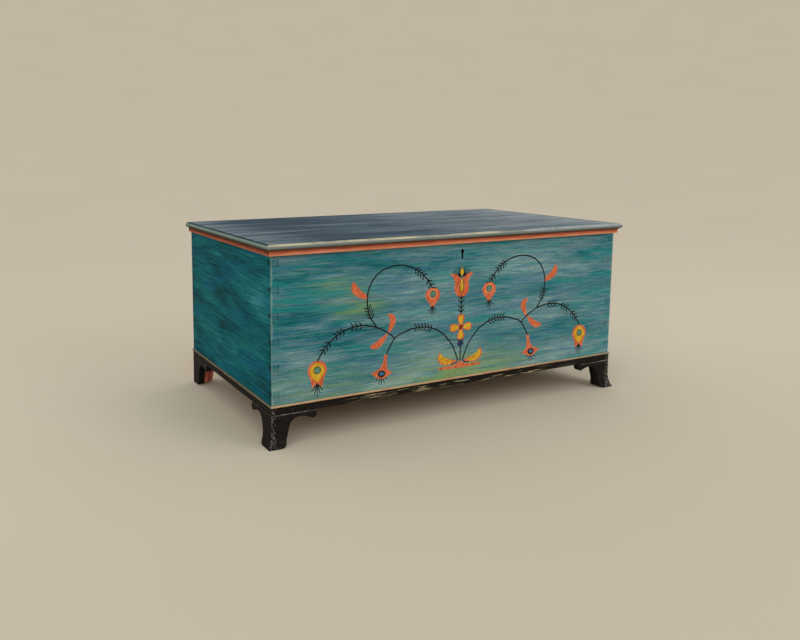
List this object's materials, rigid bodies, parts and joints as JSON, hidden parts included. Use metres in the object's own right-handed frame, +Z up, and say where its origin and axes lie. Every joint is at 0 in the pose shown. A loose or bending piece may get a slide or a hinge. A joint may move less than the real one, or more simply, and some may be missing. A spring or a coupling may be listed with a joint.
{
  "type": "painted blanket chest",
  "caption": "Lift-lid blanket chest: dovetailed painted board case, moulded lid on strap hinges, let-in lock, open till, beaded base rail and scrolled bracket feet.",
  "frame": {"origin": "on the floor, under the middle of the whole chest's box", "axes": "+X along the front to the viewer's right, +Y from front to back, +Z up"},
  "size_m": [1.258, 0.7005, 0.548],
  "materials": {
    "case_paint": "streaky brushed blue-green paint on pine, with a painted flower spray on the front",
    "bare_pine": "bare aged pine, unpainted inside and on the back",
    "lid_paint": "slate blue-grey paint, rubbed and streaked",
    "cove_paint": "terracotta orange paint",
    "bead_paint": "pale salmon paint, worn",
    "base_paint": "black paint, worn brown along the front",
    "red_wash": "thin orange-red wash on pine",
    "block_pine": "rough unpainted pine",
    "wrought_iron": "hammered wrought iron, dark and slightly rusted"
  },
  "bodies": {
    "case": {"front_board": "case_paint", "left_end_board": "case_paint", "right_end_board": "case_paint", "back_board": "bare_pine", "bottom_board_front": "bare_pine", "bottom_board_rear": "bare_pine", "till_bottom": "bare_pine", "till_side": "bare_pine", "base_bead_front": "bead_paint", "base_bead_left": "bead_paint", "base_bead_right": "bead_paint", "base_rail_front": "base_paint", "base_rail_left": "base_paint", "base_rail_right": "base_paint", "front_left_foot_front_bracket": "base_paint", "front_right_foot_front_bracket": "base_paint", "front_left_foot_side_bracket": "base_paint", "front_right_foot_side_bracket": "base_paint", "rear_left_foot_side_bracket": "base_paint", "rear_right_foot_side_bracket": "base_paint", "rear_left_foot_back_bracket": "red_wash", "rear_right_foot_back_bracket": "red_wash", "front_left_foot_block": "block_pine", "front_right_foot_block": "block_pine", "rear_left_foot_block": "block_pine", "rear_right_foot_block": "block_pine", "foot_glue_strips": "block_pine", "hinge_leaf_left": "wrought_iron", "hinge_leaf_right": "wrought_iron", "hinge_pin_left": "wrought_iron", "hinge_pin_right": "wrought_iron", "lock_plate": "wrought_iron", "lock_keepers": "wrought_iron", "lock_spring": "wrought_iron", "lock_key_post": "wrought_iron", "leaf_nails": "wrought_iron", "lock_nails": "wrought_iron", "rail_nails": "wrought_iron", "bottom_nails": "wrought_iron"},
    "lid": {"lid_board_front": "lid_paint", "lid_board_rear": "lid_paint", "lid_cove_front": "cove_paint", "lid_cove_left": "cove_paint", "lid_cove_right": "cove_paint", "hinge_strap_left": "wrought_iron", "hinge_strap_right": "wrought_iron", "lid_staple": "wrought_iron", "strap_nails": "wrought_iron", "staple_nails": "wrought_iron", "cove_nails": "wrought_iron"},
    "lock_bolt": {"lock_bolt": "wrought_iron"}
  },
  "joints": [
    {"name": "lid_hinge", "type": "hinge", "parent": "case", "child": "lid", "pos_m": [0, 0.34475, 0.5275], "axis": [-1, 0, 0], "range_deg": [0, 100]},
    {"name": "lock_bolt_slide", "type": "slide", "parent": "case", "child": "lock_bolt", "axis": [1, 0, 0], "range_m": [0, 0.01]}
  ]
}
